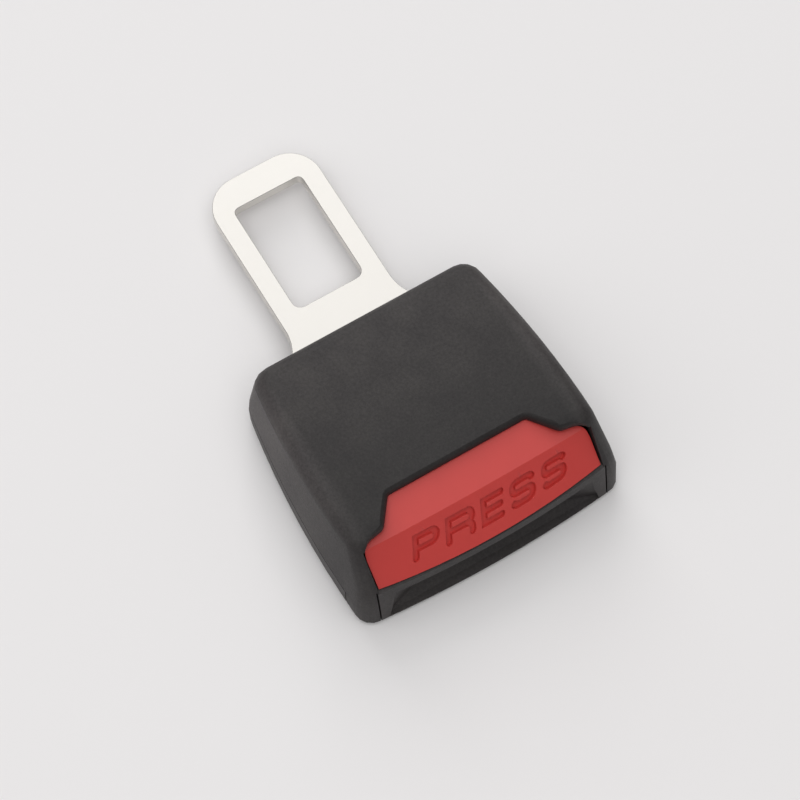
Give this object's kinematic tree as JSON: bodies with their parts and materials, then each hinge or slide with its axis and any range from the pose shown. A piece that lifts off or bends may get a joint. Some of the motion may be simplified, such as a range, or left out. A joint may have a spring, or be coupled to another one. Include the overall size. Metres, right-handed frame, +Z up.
{
  "type": "seat belt extender",
  "caption": "Rigid seat belt extender: a flat steel tongue with a latch window at one end and a dark moulded buckle with a red push button over its mouth at the other.",
  "frame": {"origin": "centre of the housing's flat underside, on the part's middle plane", "axes": "+X towards the mouth and press button, -X along the steel tongue, +Y across, +Z up out of the roof"},
  "size_m": [0.088, 0.0546, 0.0212],
  "materials": {
    "housing_plastic": "moulded, fine satin texture",
    "button_plastic": "moulded red, satin",
    "tongue_steel": "bright plated steel, satin",
    "frame_steel": "stamped and zinc plated",
    "spring_steel": "drawn wire",
    "ejector_plastic": "moulded natural acetal"
  },
  "bodies": {
    "housing": {"upper_housing": "housing_plastic", "lower_housing": "housing_plastic", "tongue_plate": "tongue_steel", "buckle_frame": "frame_steel", "tongue_rivet_left": "frame_steel", "tongue_rivet_right": "frame_steel", "latch_pivot_pin": "frame_steel", "ejector_spring": "spring_steel", "latch_spring": "spring_steel", "button_spring_left": "spring_steel", "button_spring_right": "spring_steel"},
    "button": {"release_button": "button_plastic"},
    "latch": {"latch_plate": "frame_steel"},
    "ejector": {"ejector": "ejector_plastic"}
  },
  "joints": [
    {"name": "button_press", "type": "slide", "parent": "housing", "child": "button", "axis": [-1, 0, 0], "range_m": [0, 0.004], "stiffness_N_per_m": 1200, "springref_m": -0.002, "deforming": ["button_spring_left", "button_spring_right"]},
    {"name": "latch_swing", "type": "hinge", "parent": "housing", "child": "latch", "pos_m": [-0.0135, 0, 0.0096], "axis": [0, -1, 0], "range_deg": [0, 15], "deforming": ["latch_spring"]},
    {"name": "ejector_slide", "type": "slide", "parent": "housing", "child": "ejector", "axis": [-1, 0, 0], "range_m": [0, 0.0078], "stiffness_N_per_m": 400, "springref_m": -0.004, "deforming": ["ejector_spring"]}
  ],
  "couplings": [
    {"joint": "latch_swing", "follows": "button_press", "rad_per_m": 65.4}
  ]
}
